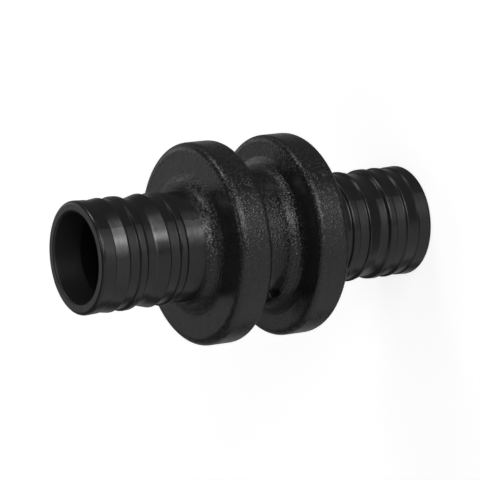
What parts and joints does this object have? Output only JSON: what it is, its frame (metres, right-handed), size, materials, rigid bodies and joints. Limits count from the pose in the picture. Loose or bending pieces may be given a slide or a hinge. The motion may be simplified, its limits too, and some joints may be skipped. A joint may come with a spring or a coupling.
{
  "type": "pex coupling",
  "caption": "Straight one-piece plastic coupling: a ribbed nipple at each end, two thick collars and the neck between them, with a through bore.",
  "frame": {"origin": "centre of the tip face that the coupling stands on", "axes": "+Z along the bore from the tip that it stands on to the other tip; the mould halves meet in the XZ plane and the gate mark is on -Y"},
  "size_m": [0.0293, 0.0292, 0.0552],
  "materials": {
    "moulded_plastic": "black engineering plastic, satin on the nipples and spark-eroded grain on the collars and neck"
  },
  "bodies": {
    "root": {"coupling_body": "moulded_plastic"}
  },
  "joints": []
}
